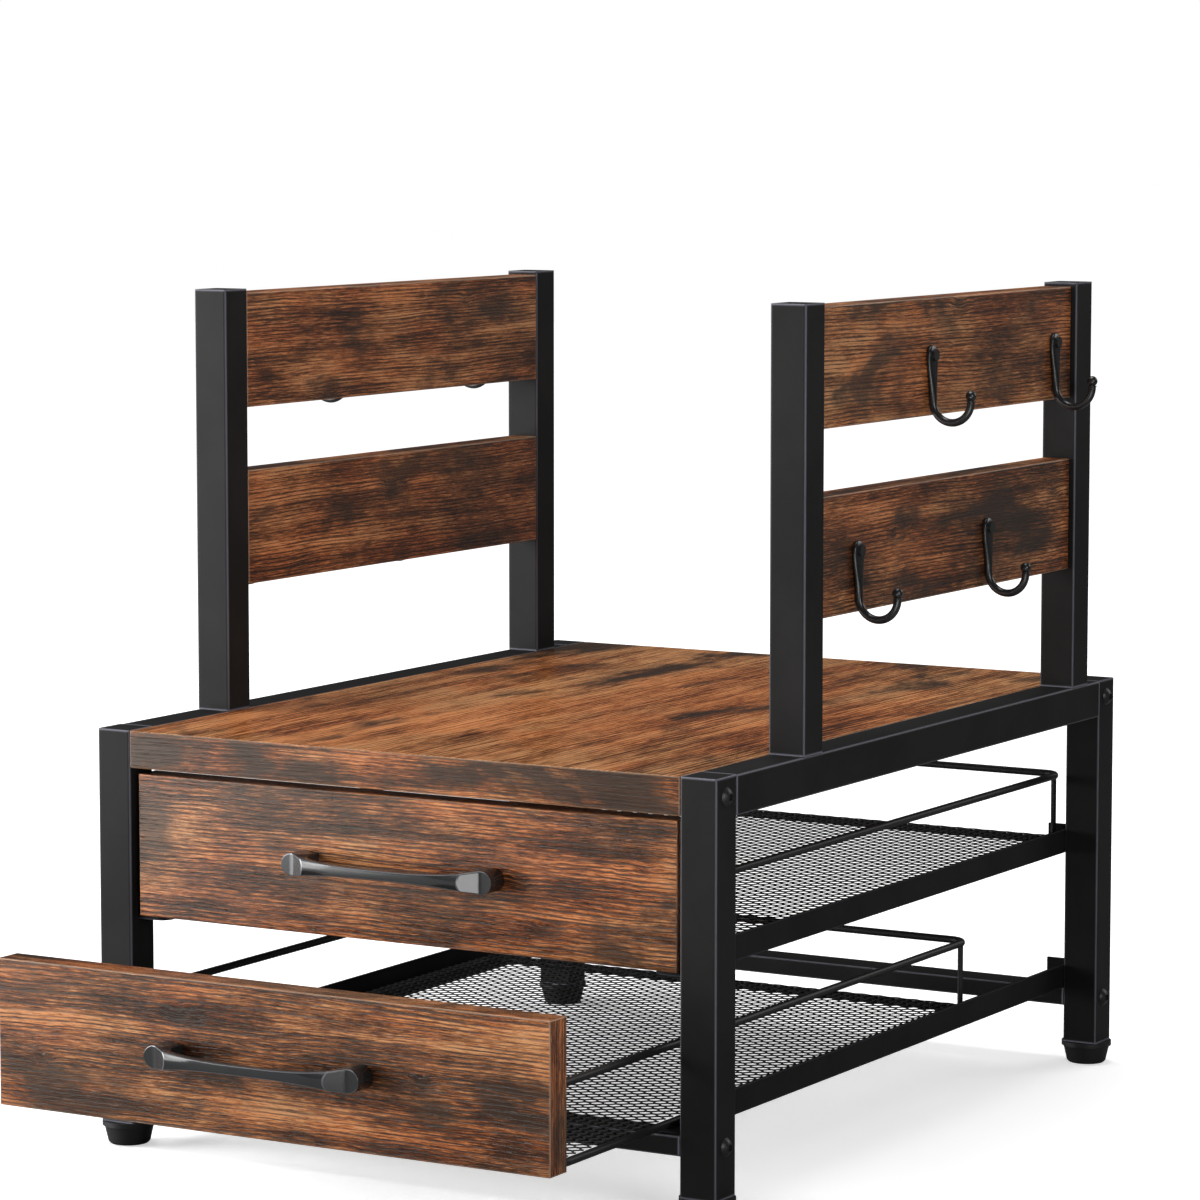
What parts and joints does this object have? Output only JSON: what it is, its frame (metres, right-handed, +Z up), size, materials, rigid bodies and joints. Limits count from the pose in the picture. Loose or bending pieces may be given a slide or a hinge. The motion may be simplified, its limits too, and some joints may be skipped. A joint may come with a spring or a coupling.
{
  "type": "coffee pod drawer stand",
  "caption": "Black square-tube stand with a wooden top, wood-fronted mesh trays that slide out under it, and slatted side racks with hooks for mugs.",
  "frame": {"origin": "on the floor, at the middle of the whole object with the lower drawer pulled out as stored", "axes": "+X to the right of someone who faces the drawers, +Y to the back, +Z up; the drawers open towards -Y"},
  "size_m": [0.4056, 0.5928, 0.435],
  "materials": {
    "frame_steel": "satin black powder coat",
    "runner_steel": "matte black powder coat",
    "top_wood": "satin rustic brown laminate with dark charred grain",
    "front_wood": "satin rustic brown laminate with dark charred grain",
    "slat_wood": "satin rustic brown laminate with dark charred grain",
    "wire_steel": "satin black powder coat",
    "mesh_steel": "satin black powder coat",
    "handle_iron": "satin black cast metal",
    "hook_iron": "satin black cast metal",
    "black_bolt": "satin black oxide",
    "black_screw": "black oxide",
    "bare_steel": "zinc plated",
    "foot_plastic": "black moulded plastic"
  },
  "bodies": {
    "frame": {"post_front_left": "frame_steel", "post_front_right": "frame_steel", "post_rear_left": "frame_steel", "post_rear_right": "frame_steel", "top_rail_left": "frame_steel", "top_rail_right": "frame_steel", "top_board": "top_wood", "cross_bar_front": "frame_steel", "cross_bar_rear": "frame_steel", "runner_upper_left": "runner_steel", "runner_upper_right": "runner_steel", "runner_lower_left": "runner_steel", "runner_lower_right": "runner_steel", "upright_front_left": "frame_steel", "upright_front_right": "frame_steel", "upright_rear_left": "frame_steel", "upright_rear_right": "frame_steel", "slat_upper_left": "slat_wood", "slat_upper_right": "slat_wood", "slat_lower_left": "slat_wood", "slat_lower_right": "slat_wood", "hook_upper_left_front": "hook_iron", "hook_upper_left_rear": "hook_iron", "hook_upper_right_front": "hook_iron", "hook_upper_right_rear": "hook_iron", "hook_lower_left_front": "hook_iron", "hook_lower_left_rear": "hook_iron", "hook_lower_right_front": "hook_iron", "hook_lower_right_rear": "hook_iron", "foot_front_left": "foot_plastic", "foot_front_right": "foot_plastic", "foot_rear_left": "foot_plastic", "foot_rear_right": "foot_plastic", "cross_bar_bolts": "black_bolt", "board_bolts": "black_bolt", "upright_bolts": "black_bolt", "slat_pins": "bare_steel", "hook_screws": "black_screw"},
    "upper_drawer": {"upper_drawer_front": "front_wood", "upper_handle": "handle_iron", "upper_handle_screws": "bare_steel", "upper_tray_ring": "wire_steel", "upper_tray_rail": "wire_steel", "upper_tray_stays": "wire_steel", "upper_tray_floor": "mesh_steel", "upper_tray_tabs": "wire_steel", "upper_tray_screws": "bare_steel"},
    "lower_drawer": {"lower_drawer_front": "front_wood", "lower_handle": "handle_iron", "lower_handle_screws": "bare_steel", "lower_tray_ring": "wire_steel", "lower_tray_rail": "wire_steel", "lower_tray_stays": "wire_steel", "lower_tray_floor": "mesh_steel", "lower_tray_tabs": "wire_steel", "lower_tray_screws": "bare_steel"}
  },
  "joints": [
    {"name": "upper_drawer_slide", "type": "slide", "parent": "frame", "child": "upper_drawer", "axis": [0, -1, 0], "range_m": [0, 0.225]},
    {"name": "lower_drawer_slide", "type": "slide", "parent": "frame", "child": "lower_drawer", "axis": [0, -1, 0], "range_m": [-0.117, 0.108]}
  ]
}
